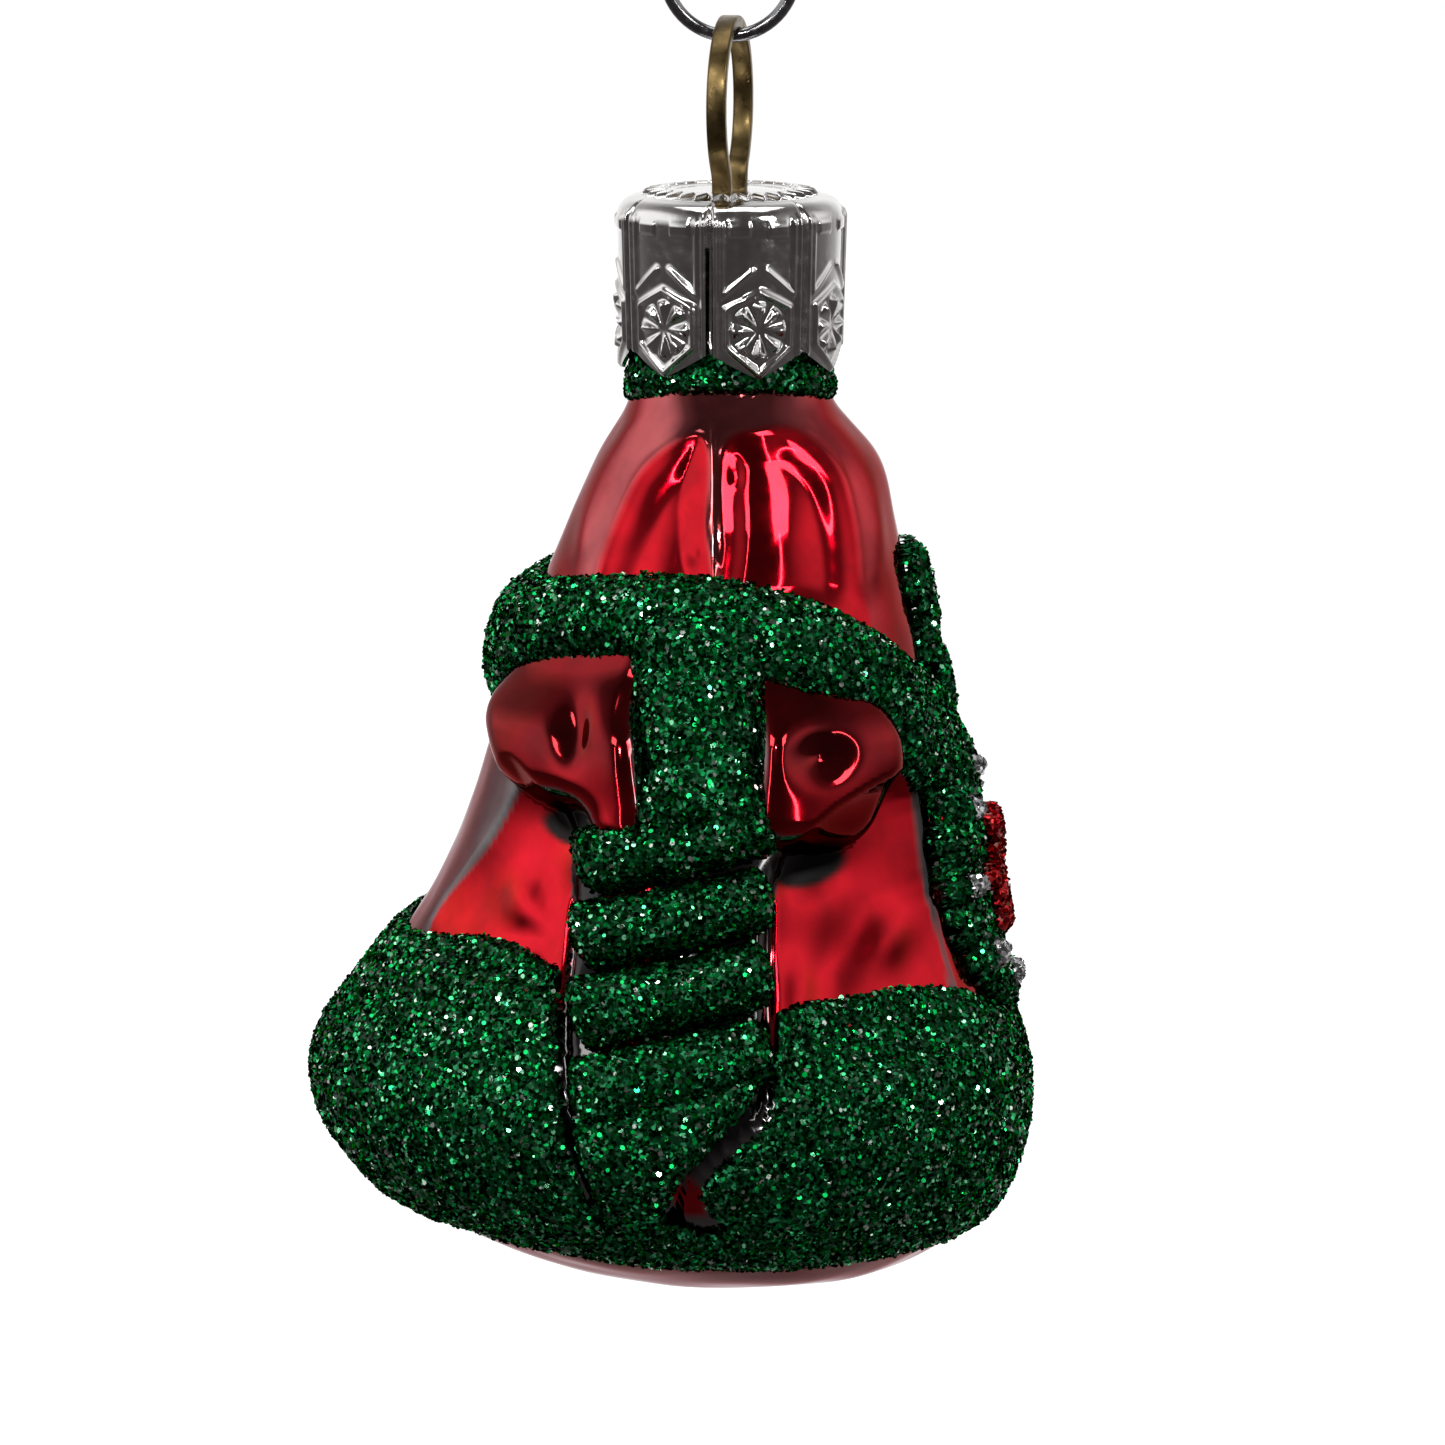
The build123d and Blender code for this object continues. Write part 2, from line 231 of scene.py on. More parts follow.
run_of_station = np.r_[0, np.cumsum(np.hypot(
    np.diff(STATIONS[:, 0]), np.diff((STATIONS[:, 1] + STATIONS[:, 2] + 2 * STATIONS[:, 3]) / 4)))]
RUN_END = run_of_station[-1]
depth_at, back_at, front_at, half_at = (spline(run_of_station, STATIONS[:, k]) for k in range(4))
fine_runs = np.linspace(0, RUN_END, 3000)
fine_depths = np.maximum.accumulate(depth_at(fine_runs) + 1e-7 * np.arange(3000))


def form(turn, run):
    """Point on the plain bell: turn 0 is the near seam, a quarter turn is the front."""
    back, front, half = back_at(run), front_at(run), half_at(run)
    x = (front - back) / 2 + (front + back) / 2 * np.sin(turn)
    return np.stack([x, -half * np.cos(turn), -depth_at(run)], -1)


def form_normal(turn, run):
    """Outward direction of the plain bell."""
    step = 1e-3
    run = np.clip(run, 0.01, RUN_END - 0.02)
    across = form(turn + step, run) - form(turn - step, run)
    down = form(turn, run + step) - form(turn, run - step)
    normal = np.cross(down, across)
    return normal / np.maximum(np.linalg.norm(normal, axis=-1, keepdims=True), 1e-9)


def run_of(depth):
    """Length along the bell's profile at a depth."""
    return np.interp(depth, fine_depths, fine_runs)


def on_side(x, depth, near):
    """Turn and run of a point seen from the side."""
    run = run_of(depth)
    back, front = back_at(run), front_at(run)
    share = np.clip((x - (front - back) / 2) / ((front + back) / 2), -0.999, 0.999)
    turn = np.arcsin(share)
    return (turn if near else pi - turn), run


def on_front(y, depth):
    """Turn and run of a point seen from the front."""
    run = run_of(depth)
    share = np.clip(-y / half_at(run), -0.999, 0.999)
    return np.arccos(share), run


# ---------------------------------------------------------------- outlines on the bell, in (x, depth)

band_top = line([(-30, 40), (-14, 38.2), (-10, 36.8), (-5, 36.0), (-1, 36.0), (3, 36.9), (7, 38.5),
                 (11, 41.6), (14, 45), (24, 53)])
band_low = line([(-30, 49), (-15.5, 46.8), (-13.5, 44.4), (-10, 42.5), (-5.5, 42.0), (2, 43.3), (6.5, 45.5),
                 (10, 47.9), (13, 52.0), (24, 62)])
brim_top = line([(-36, 62.4), (-22, 61.7), (-18.6, 60.2), (-15.2, 59.8), (-11, 61.2), (-4, 62), (2, 63.8),
                 (5, 63.2), (9, 62.9), (14.6, 63.9), (18, 66.5), (30, 68)])
brim_low = line([(-36, 79.4), (-19.8, 79.3), (-10, 80.5), (0, 81.4), (12, 81.2), (30, 81)])
stem_line = rounded([(-5.6, 39), (-5.6, 45.3), (-5.3, 48.5), (-5.4, 52.5), (1.9, 52.5), (1.6, 48.4),
                     (1.6, 45.9), (1.9, 39)])
cord_line = rounded([(-9.8, 51.6), (-10.5, 57), (-10.8, 64), (-10.5, 69.8), (-9.0, 74.5), (-7.4, 78),
                     (-4.2, 79), (-3.6, 75), (-1.2, 72.2), (2.0, 69.6), (2.4, 66), (2.6, 58), (3.0, 50.4),
                     (-3, 50)])
gap_line = rounded([(-10.3, 51.6), (-11.0, 57), (-11.3, 64), (-10.9, 70), (-9.4, 75.2), (-8.7, 76.3),
                    (-8.0, 75.4), (-5.5, 77.3), (-3.6, 77.4), (-1.6, 78.2), (-0.1, 77.6), (-1.4, 76.6),
                    (-1.9, 75.0), (-0.6, 73.0), (2.3, 70.4), (2.9, 66), (3.1, 58), (3.4, 50.4), (-3, 50)])
tassel_line = rounded([(-10.0, 70.2), (-9.8, 72.0), (-8.8, 75.0), (-7.8, 77.4), (-5.5, 79.4), (-3.6, 78.6),
                       (-4.1, 76.4), (-3.1, 73.9), (-0.9, 71.6), (1.3, 69.2), (1.4, 67.4), (-3, 68.6),
                       (-8.5, 69.8)])
lobe_back = rounded([(-15.2, 42.0), (-15.0, 46.6), (-14.2, 50.0), (-12.8, 51.2), (-10.6, 51.2), (-9.2, 51.6),
                     (-8.0, 53.6), (-5.0, 53.4), (-4.8, 48.6), (-5.1, 44), (-5.1, 39)])
lobe_front = rounded([(1.3, 39), (1.1, 46), (1.2, 52.6), (4.8, 53.6), (8.2, 53.9), (9.9, 52.7), (10.5, 50.2),
                      (10.1, 46.5), (8, 42)])
hollow_back = rounded([(-1.7, 27.3), (-5.2, 29.0), (-7.3, 32.5), (-8.7, 36.5), (-8.7, 40), (-1.5, 40),
                       (-1.5, 33)])
hollow_front = rounded([(-0.5, 28.0), (2.2, 26.7), (4.6, 27.0), (7.0, 29.3), (8.1, 32.4), (8.6, 36.5),
                        (8.6, 41), (-0.6, 41), (-0.6, 34)])
panel_back = rounded([(-12.6, 48.8), (-16.4, 54.6), (-20.6, 61.6), (-14, 63), (-10.6, 63), (-10.0, 54.0)])
panel_front = rounded([(11.3, 49.2), (13.3, 57.4), (15.4, 67.2), (10, 68.5), (3.2, 68), (3.2, 54.0)])


def dome_relief(x, depth):
    """Seam rib, two sunk hollows with a fine rim, and a soft swelling at the back and at the front."""
    height = SEAM_RIB * np.exp(-((x + 1.1) / 0.2) ** 2)
    for outline in (hollow_back, hollow_front):
        edge = inside(outline, x, depth)
        height += 0.14 * np.exp(-(edge / 0.3) ** 2) - 0.65 * smooth(edge, 0.1, 2.2)
    height += 0.3 * hill(x, depth, (-9.6, 34.0), (1.0, 3.4)) + 0.3 * hill(x, depth, (9.6, 35.0), (0.8, 3.0))
    return height


def lobe_relief(x, depth):
    """Two plump lobes of the moulded bow, each with a dimple, and the dips below them."""
    fullness = 0.35 + 0.65 * smooth(depth, 42, 47.5) - 0.15 * smooth(depth, 48, 52)
    height = np.zeros(np.shape(x))
    for outline, tall in ((lobe_back, 3.0), (lobe_front, 2.9)):
        height += tall * dome(inside(outline, x, depth) / 1.8) * fullness
    height -= 1.0 * hill(x, depth, (-8.9, 46.7), (0.9, 2.0)) + 1.3 * hill(x, depth, (5.0, 47.9), (1.5, 1.4))
    height -= 0.6 * hill(x, depth, (5.7, 55.0), (3.4, 1.6)) + 0.6 * hill(x, depth, (-11.3, 52.5), (2.0, 1.4))
    return height


def panel_relief(x, depth):
    """Sunk panels with soft swellings on both sides of the cord, and a groove just inside the cord's edge."""
    height = np.zeros(np.shape(x))
    for outline, deep in ((panel_back, 1.7), (panel_front, 1.9)):
        edge = np.maximum(inside(outline, x, depth), 0)
        height -= deep * (1 - np.exp(-edge / 1.5))
    cord_edge = inside(cord_line, x, depth)
    height -= 0.9 * np.exp(-((cord_edge + 0.2) / 0.35) ** 2) * smooth(depth, 55, 58)
    lower = smooth(depth, 45, 50) * (1 - smooth(depth, 58, 61))
    height += 0.7 * hill(x, depth, (-14.2, 57.6), (1.5, 1.7)) * lower
    height += 0.6 * hill(x, depth, (11.6, 60.0), (1.4, 1.8)) - 0.5 * hill(x, depth, (8.2, 61.0), (2.0, 2.6))
    height += 0.5 * hill(x, depth, (5.0, 63.0), (1.3, 2.2))
    return height


def relief(points):
    """How far the glass stands out of its plain form: moulded near the seams, plain at front and back."""
    x, y, depth = points[..., 0], points[..., 1], -points[..., 2]
    half = half_at(run_of(depth))
    side = smooth(np.abs(y) / np.maximum(half, 1e-6), 0.12, 0.45)
    below_neck = smooth(depth, 26.2, 27.5)
    height = dome_relief(x, depth) * below_neck * (1 - smooth(depth, 36.5, 39))
    for middle in SMALL_BUMPS:
        height += 0.12 * hill(x, depth, middle, (0.45, 0.6))
    height += lobe_relief(x, depth) + panel_relief(x, depth)
    return height * side + 0.05 * waves(points, 5.0, 3) * below_neck


def lacquer(points):
    """1 where the glass is lacquered red, 0 where the silvered glass is bare."""
    x, y, depth = points[..., 0], points[..., 1], -points[..., 2]
    across = np.abs(y) / np.maximum(half_at(run_of(depth)), 1e-6)
    hollows = np.maximum(inside(hollow_back, x, depth), inside(hollow_front, x, depth))
    # Outside the hollows the dome is only partly red: 0.55 up to 2 mm towards the front, rising to 0.8 from 9
    # mm on.
    thin = 0.55 + 0.25 * smooth(x, 2, 9)
    on_dome = (1 - smooth(depth, 44, 45)) * (thin + (1 - thin) * smooth(hollows, -0.3, 0.3))
    cord_edge = inside(cord_line, x, depth)
    under_cord = np.minimum(cord_edge - 2.2, -4.8 - x)
    slit_patch = 1 - np.hypot((x + 2.6) / 1.1, (depth - 75.8) / 1.3)
    fields = [under_cord, slit_patch]
    fields += [inside(lobe, x, depth) - 0.85 for lobe in (lobe_back, lobe_front)]
    for panel in (panel_back, panel_front):
        fields.append(np.minimum(inside(panel, x, depth) - 0.2, -0.5 - cord_edge))
    beside_seam = smooth(np.max(fields, axis=0), -0.06, 0.06)
    front = (1 - smooth(across, 0.42, 0.45)) * (x > 0)
    red = np.where(depth < 46, np.maximum(on_dome, beside_seam), np.maximum(beside_seam, front))
    return red * (1 - 0.85 * smooth(depth, 79, 80))


def painted_shade(points):
    """How far the glass is painted towards black: 1 as painted shadow under the lobes, less as painted shade
    in the slits by the cord and on the bare glass at the front edge, and as a painted dark reflection where
    the lobes' red is made deep.
    """
    x, depth = points[..., 0], -points[..., 2]
    # Painted shadow: the glass just under each lobe's lower edge is painted near black.
    under_front_lobe = np.hypot((x - 5.8) / 3.4, (depth - 54.6) / 1.5)
    under_back_lobe = np.hypot((x + 11.3) / 2.2, (depth - 52.3) / 1.2)
    under_lobes = 1 - smooth(np.minimum(under_front_lobe, under_back_lobe), 0.8, 1.15)
    cord_edge = inside(cord_line, x, depth)
    # Painted shade in the slits beside the cord.
    slits = smooth(cord_edge, -0.75, -0.45) * smooth(depth, 53, 55) * (1 - smooth(depth, 74, 77))
    # Painted dark reflection on the bare glass along the front panel's edge.
    front_edge = 0.7 * smooth(x, 9.5, 11) * smooth(depth, 47, 50) * (1 - smooth(depth, 66, 70))
    bare = np.maximum(0.85 * slits, front_edge) * (1 - lacquer(points))
    # Painted dark reflection on the lobes: their red is painted deeper, most on their upper part.
    on_lobes = np.maximum(inside(lobe_back, x, depth), inside(lobe_front, x, depth))
    lobe_painted_shade = (0.62 - 0.4 * smooth(depth, 48, 51)) * smooth(on_lobes, 0.2, 1.5)
    return np.maximum.reduce([under_lobes, bare, lobe_painted_shade])


# ---------------------------------------------------------------- mesh helpers

def to_frame(points):
    """Millimetres below the loop's top to metres in the row frame."""
    return np.asarray(points, float) * MM + np.array([0, 0, LOOP_TOP])


def make_piece(name, points, faces, materials, slot, body, smooth_shading=True, shades=None):
    """Mesh piece from mm points and faces that all have the same number of corners."""
    points = to_frame(points).reshape(-1, 3)
    faces = np.asarray(faces, np.int32)
    mesh = bpy.data.meshes.new(name)
    mesh.vertices.add(len(points))
    mesh.vertices.foreach_set("co", points.astype(np.float32).ravel())
    mesh.loops.add(faces.size)
    mesh.loops.foreach_set("vertex_index", faces.ravel())
    mesh.polygons.add(len(faces))
    mesh.polygons.foreach_set("loop_start", np.arange(0, faces.size, faces.shape[1], dtype=np.int32))
    if shades is not None:
        mesh.polygons.foreach_set("material_index", np.asarray(shades, np.int32))
    mesh.update(calc_edges=True)
    mesh.polygons.foreach_set("use_smooth", np.full(len(faces), smooth_shading))
    for material in materials:
        mesh.materials.append(material)
    piece = bpy.data.objects.new(name, mesh)
    bpy.context.scene.collection.objects.link(piece)
    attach(piece, body)
    return piece


def grid_faces(rows, columns, closed):
    """Quads of a grid, with the last column joined to the first where it is closed."""
    r = np.arange(rows - 1)[:, None]
    c = np.arange(columns if closed else columns - 1)[None, :]
    after = (c + 1) % columns
    corners = [r * columns + c, (r + 1) * columns + c, (r + 1) * columns + after, r * columns + after]
    return np.stack(np.broadcast_arrays(*corners), -1).reshape(-1, 4)


def drop_unused(points, faces):
    """Only the points that faces use, and the faces renumbered to them."""
    used, renumbered = np.unique(faces, return_inverse=True)
    return points.reshape(-1, 3)[used], renumbered.reshape(faces.shape)


def apply_modifiers(piece):
    graph = bpy.context.evaluated_depsgraph_get()
    mesh = bpy.data.meshes.new_from_object(piece.evaluated_get(graph))
    piece.modifiers.clear()
    piece.data = mesh


# ---------------------------------------------------------------- materials

def new_material(name, colour, metallic=0.0, roughness=0.5):
    """Material with its node tree and its shader."""
    material = bpy.data.materials.new(name)
    material.use_nodes = True
    shader = material.node_tree.nodes["Principled BSDF"]
    shader.inputs["Base Color"].default_value = (*colour, 1)
    shader.inputs["Metallic"].default_value = metallic
    shader.inputs["Roughness"].default_value = roughness
    return material, material.node_tree, shader


def add(tree, kind, **values):
    """New node; values go to its sockets by name, or else to its properties."""
    node = tree.nodes.new(kind)
    for key, value in values.items():
        if key in node.inputs:
            node.inputs[key].default_value = value
        else:
            setattr(node, key, value)
    return node


def object_noise(tree, scale, detail=3.0):
    """Noise that stays on the object, with scale in waves per metre."""
    where = add(tree, "ShaderNodeTexCoord")
    noise = add(tree, "ShaderNodeTexNoise", Scale=scale, Detail=detail)
    tree.links.new(where.outputs["Object"], noise.inputs["Vector"])
    return noise.outputs["Fac"]


def ramp(tree, source, stops):
    """Colours by a source from 0 to 1; stops are (place, colour)."""
    node = add(tree, "ShaderNodeValToRGB")
    elements = node.color_ramp.elements
    while len(elements) < len(stops):
        elements.new(0.5)
    for element, (place, colour) in zip(elements, stops):
        element.position = place
        element.color = (*colour, 1)
    tree.links.new(source, node.inputs["Fac"])
    return node.outputs["Color"]


def map_range(tree, source, low, high):
    """Source from low to high as 0 to 1."""
    node = add(tree, "ShaderNodeMapRange")
    node.inputs["From Min"].default_value = low
    node.inputs["From Max"].default_value = high
    tree.links.new(source, node.inputs["Value"])
    return node.outputs[0]


def mix_colours(tree, share, first, second, blend="MIX"):
    """Second colour over first by share; first is a socket, second a socket or a colour."""
    node = add(tree, "ShaderNodeMix", data_type="RGBA", blend_type=blend)
    factor, a, b = (node.inputs[k] for k in (0, 6, 7))
    tree.links.new(share, factor)
    tree.links.new(first, a)
    if isinstance(second, tuple):
        b.default_value = (*second, 1)
    else:
        tree.links.new(second, b)
    return node.outputs[2]


def bump(tree, shader, source, strength, distance):
    node = add(tree, "ShaderNodeBump", Strength=strength, Distance=distance)
    tree.links.new(source, node.inputs["Height"])
    tree.links.new(node.outputs["Normal"], shader.inputs["Normal"])


def grey(value):
    return (value, value, value)


def red_glass_material():
    """Silvered glass under transparent red lacquer, bare and grey where the lacquer stops, and painted near
    black where shade, shadow and dark reflections are painted on.
    """
    material, tree, shader = new_material("red_lacquered_glass", (0.6, 0.0, 0.02), 1.0, 0.05)
    streaks = object_noise(tree, 260)
    red = ramp(tree, streaks, [(0.30, (0.48, 0.000, 0.008)), (0.55, (0.70, 0.002, 0.014)),
                               (0.75, (0.80, 0.004, 0.020))])
    bare = ramp(tree, streaks, [(0.3, (0.17, 0.16, 0.165)), (0.7, (0.26, 0.25, 0.25))])
    masks = [add(tree, "ShaderNodeAttribute", attribute_name=name) for name in ("lacquer", "painted_shade")]
    painted = mix_colours(tree, masks[0].outputs["Fac"], bare, red)
    # The second mask paints the colour towards near black: painted shadow, painted shade and painted dark
    # reflections.
    with_painted_shade = mix_colours(tree, masks[1].outputs["Fac"], painted, (0.008, 0.007, 0.007))
    tree.links.new(with_painted_shade, shader.inputs["Base Color"])
    wear = ramp(tree, object_noise(tree, 900), [(0.40, grey(0.07)), (0.8, grey(0.14))])
    tree.links.new(wear, shader.inputs["Roughness"])
    bump(tree, shader, object_noise(tree, 120, 1.0), 0.15, 0.0004)
    shader.inputs["Specular Tint"].default_value = (0.35, 0.06, 0.08, 1)
    shader.inputs["Coat Weight"].default_value = 0.3
    shader.inputs["Coat Roughness"].default_value = 0.02
    return material


def glitter_base(name, dark, light, glint):
    """Bed of flakes: every cell of the pattern has its own shade and its own tilt; the dark cells are partly
    the bed's own colour and partly painted shade, and the glint cells are painted glints.
    """
    material, tree, shader = new_material(name, light, 0.75, 0.32)
    where = add(tree, "ShaderNodeTexCoord")
    cells = add(tree, "ShaderNodeTexVoronoi", Scale=3600.0)
    tree.links.new(where.outputs["Object"], cells.inputs["Vector"])
    split = add(tree, "ShaderNodeSeparateColor")
    tree.links.new(cells.outputs["Color"], split.inputs[0])
    # Painted glints on the brightest cells, and partly painted shade on the darkest.
    colour = ramp(tree, split.outputs[0], [(0.0, dark), (0.55, light), (0.86, light), (0.93, glint)])
    tree.links.new(colour, shader.inputs["Base Color"])
    tilt = add(tree, "ShaderNodeVectorMath", operation="SUBTRACT")
    tree.links.new(cells.outputs["Color"], tilt.inputs[0])
    tilt.inputs[1].default_value = (0.5, 0.5, 0.5)
    scaled = add(tree, "ShaderNodeVectorMath", operation="SCALE", Scale=1.3)
    tree.links.new(tilt.outputs[0], scaled.inputs[0])
    geometry = add(tree, "ShaderNodeNewGeometry")
    summed = add(tree, "ShaderNodeVectorMath", operation="ADD")
    tree.links.new(geometry.outputs["Normal"], summed.inputs[0])
    tree.links.new(scaled.outputs[0], summed.inputs[1])
    straight = add(tree, "ShaderNodeVectorMath", operation="NORMALIZE")
    tree.links.new(summed.outputs[0], straight.inputs[0])
    tree.links.new(straight.outputs[0], shader.inputs["Normal"])
    return material


def flake_materials(name, shades):
    """One plain metallic foil for each shade of flake; the variety is in which flake has which. The darkest
    shades are partly painted shade and the palest partly painted glints, standing for flakes turned away from
    the lamps and flakes catching them.
    """
    made = []
    for i, (colour, rough) in enumerate(shades):
        material, _, shader = new_material(f"{name}_{i}", colour, 1.0, rough)
        shader.inputs["Specular Tint"].default_value = (*colour, 1)
        made.append(material)
    return made


def cap_material():
    """Bright tinplate, a little dull in places."""
    material, tree, shader = new_material("cap_tinplate", (0.85, 0.84, 0.83), 1.0, 0.12)
    tone = ramp(tree, object_noise(tree, 350), [(0.3, (0.74, 0.73, 0.72)), (0.7, (0.90, 0.89, 0.88))])
    tree.links.new(tone, shader.inputs["Base Color"])
    rough = ramp(tree, object_noise(tree, 1500), [(0.4, grey(0.07)), (0.75, grey(0.20))])
    tree.links.new(rough, shader.inputs["Roughness"])
    bump(tree, shader, object_noise(tree, 700), 0.2, 0.0001)
    return material


def brass_material():
    """Brass gone brown in patches."""
    material, tree, shader = new_material("aged_brass", (0.30, 0.21, 0.09), 1.0, 0.3)
    tone = ramp(tree, object_noise(tree, 180), [
        (0.30, (0.08, 0.056, 0.026)), (0.48, (0.14, 0.098, 0.040)), (0.60, (0.19, 0.130, 0.052)),
        (0.75, (0.25, 0.19, 0.09))])
    tree.links.new(tone, shader.inputs["Base Color"])
    rough = ramp(tree, object_noise(tree, 1800), [(0.35, grey(0.26)), (0.75, grey(0.44))])
    tree.links.new(rough, shader.inputs["Roughness"])
    bump(tree, shader, object_noise(tree, 2500), 0.12, 0.00006)
    return material


def steel_material():
    """Dark drawn wire."""
    material, tree, shader = new_material("dark_steel_wire", (0.30, 0.30, 0.31), 1.0, 0.18)
    tone = ramp(tree, object_noise(tree, 600), [(0.3, grey(0.20)), (0.7, (0.38, 0.38, 0.40))])
    tree.links.new(tone, shader.inputs["Base Color"])
    rough = ramp(tree, object_noise(tree, 3000), [(0.35, grey(0.10)), (0.8, grey(0.30))])
    tree.links.new(rough, shader.inputs["Roughness"])
    bump(tree, shader, object_noise(tree, 3500), 0.2, 0.00005)
    return material


RED_GLASS = red_glass_material()
GREEN_BED = glitter_base("green_glitter_bed", (0.0, 0.008, 0.002), (0.0, 0.06, 0.015), (0.05, 0.50, 0.20))
SILVER_BED = glitter_base("silver_glitter_bed", (0.16, 0.16, 0.17), (0.62, 0.62, 0.64), (0.95, 0.95, 0.95))
RED_BED = glitter_base("red_glitter_bed", (0.08, 0.0, 0.0), (0.50, 0.015, 0.02), (0.9, 0.35, 0.30))
# each shade of flake is its colour and roughness, from dark to bright, and the shares say how many have it;
# the near black shades are partly painted shade and the near white ones partly painted glints
GREEN_FLAKES = flake_materials("green_flake", [
    ((0.0, 0.012, 0.001), 0.28), ((0.0, 0.04, 0.006), 0.25), ((0.001, 0.11, 0.02), 0.22),
    ((0.003, 0.24, 0.05), 0.20), ((0.010, 0.42, 0.10), 0.18), ((0.06, 0.66, 0.24), 0.15),
    ((0.32, 0.90, 0.50), 0.13), ((0.85, 1.0, 0.88), 0.12)])
GREEN_SHARES = [0.22, 0.18, 0.16, 0.13, 0.11, 0.085, 0.07, 0.045]
SILVER_FLAKES = flake_materials("silver_flake", [
    (grey(0.30), 0.3), (grey(0.60), 0.2), (grey(0.92), 0.12)])
SILVER_SHARES = [0.3, 0.4, 0.3]
RED_FLAKES = flake_materials("red_flake", [
    ((0.12, 0.0, 0.0), 0.3), ((0.35, 0.005, 0.01), 0.25), ((0.65, 0.03, 0.03), 0.2),
    ((0.9, 0.4, 0.35), 0.14)])
RED_SHARES = [0.3, 0.4, 0.25, 0.05]
CAP_METAL = cap_material()
BRASS = brass_material()
STEEL = steel_material()


# ---------------------------------------------------------------- glass

def glass():
    """Closed thin shell: outside with all relief, over the lip and down the inside."""
    columns = GLASS_COLUMNS
    turn = np.arange(columns) * 2 * pi / columns
    rows_out = np.concatenate([np.linspace(0, run_of(36), 50), np.linspace(run_of(36), run_of(66), 130)[1:],
                               np.linspace(run_of(66), RUN_END - 0.05, 50)[1:]])
    turns, runs = np.meshgrid(turn, rows_out)
    plain = form(turns, runs)
    outside = plain + form_normal(turns, runs) * relief(plain)[..., None]
    rows_in = np.linspace(0, RUN_END - 1.5, 26)[::-1]
    turns, runs = np.meshgrid(turn, rows_in)
    inner = form(turns, runs) - form_normal(turns, runs) * INNER_GAP
    bore, neck_root, lip_round = NECK_RADIUS - WALL, NECK_TOP + 12, NECK_TOP + 0.4
    lip = [(bore, neck_root), (bore, lip_round), (NECK_RADIUS - WALL * 0.7, NECK_TOP),
           (NECK_RADIUS - WALL * 0.3, NECK_TOP), (NECK_RADIUS, lip_round), (NECK_RADIUS, neck_root)]
    rings = [np.stack([r * np.sin(turn), -r * np.cos(turn), np.full(columns, -d)], -1) for r, d in lip]
    points = np.concatenate([inner, np.array(rings), outside])
    faces = grid_faces(len(points), columns, True)
    piece = make_piece("glass_shell", points, faces, [RED_GLASS], "red_glass", "bell")
    unpainted = np.zeros((len(rows_in) + len(lip), columns))
    # Besides the lacquer, each point gets how far it is painted towards black as shade, shadow and dark
    # reflection; the inside and the neck get none of either.
    for name, field in (("lacquer", lacquer), ("painted_shade", painted_shade)):
        values = np.concatenate([unpainted, field(plain)]).astype(np.float32)
        attribute = piece.data.attributes.new(name, "FLOAT", "POINT")
        attribute.data.foreach_set("value", values.ravel())
    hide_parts("glass_body")


# ---------------------------------------------------------------- glitter coats

BEDS = {
    "green": (GREEN_BED, "green_glitter"),
    "silver": (SILVER_BED, "silver_glitter"),
    "red": (RED_BED, "red_glitter"),
}
# points and faces of the coats made so far, which the loose flakes are scattered on
coats = {kind: [] for kind in BEDS}


def coat(name, kind, turns, runs, cover, height, nodes, closed=False):
    """Glitter skin over the bell, kept where cover, the distance inside its edge, is above 0."""
    plain = form(turns, runs)
    grain = rng.normal(0, COAT_GRAIN, turns.shape) + COAT_GRAIN * waves(plain, 1.2, 11)
    points = plain + form_normal(turns, runs) * (height + grain)[..., None]
    faces = grid_faces(*turns.shape, closed)
    keep = (cover.ravel()[faces] > COAT_LIP).all(axis=1)
    points, faces = drop_unused(points, faces[keep])
    outwards = form_normal(turns, runs)[cover > 0].sum(axis=0)
    if face_normals(points, faces).sum(axis=0) @ outwards < 0:
        faces = faces[:, ::-1]
    material, slot = BEDS[kind]
    piece = make_piece(name, points, faces, [material], slot, "bell")
    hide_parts(*nodes)
    coats[kind].append((points, faces))


def face_normals(points, faces):
    """Normal of each four-cornered face, as long as the face's area."""
    a, b, c, d = (points[faces[:, k]] for k in range(4))
    return np.cross(c - a, d - b) / 2


def around(depths):
    """Turns and runs of a closed grid all round the bell."""
    return np.meshgrid(np.arange(COAT_COLUMNS) * 2 * pi / COAT_COLUMNS, run_of(depths))


def collar():
    """Glitter round the neck, which reaches less far down at the two seams."""
    columns, rows = 150, 18
    turn = np.arange(columns) * 2 * pi / columns
    share = np.linspace(0, 1, rows)[:, None]
    low = COLLAR_LOW - 1.5 * np.cos(turn) ** 2
    depth = COLLAR_TOP + (low - COLLAR_TOP) * share
    bulge = 0.35 * smooth(share, 0.3, 0.7) - 0.7 * smooth(share, 0.8, 1.0)
    radius = COLLAR_RADIUS + bulge + COAT_GRAIN * rng.normal(size=(rows, columns))
    points = np.stack([radius * np.sin(turn), -radius * np.cos(turn), -depth], -1)
    faces = grid_faces(rows, columns, True)
    piece = make_piece("neck_glitter", points, faces, [GREEN_BED], "green_glitter", "bell")
    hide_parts("neck_collar")
    coats["green"].append((points.reshape(-1, 3), faces))


def band():
    """Garland round the dome, between its top and low lines, a little flatter at the front."""
    turns, runs = around(np.linspace(34.5, 61, 110))
    plain = form(turns, runs)
    x, depth = plain[..., 0], -plain[..., 2]
    top, low = band_top(x), band_low(x)
    cover = np.minimum(depth - top, low - depth)
    share = np.clip((depth - top) / (low - top), 0, 1)
    height = GARLAND_HEIGHT * np.maximum(np.sin(pi * share), 0) ** 0.5 * dome(cover / 2.0) + 0.1
    front = smooth(x / front_at(runs), 0.75, 0.95)
    coat("garland", "green", turns, runs, cover, height * (1 - 0.3 * front), ["ribbon_band"], closed=True)


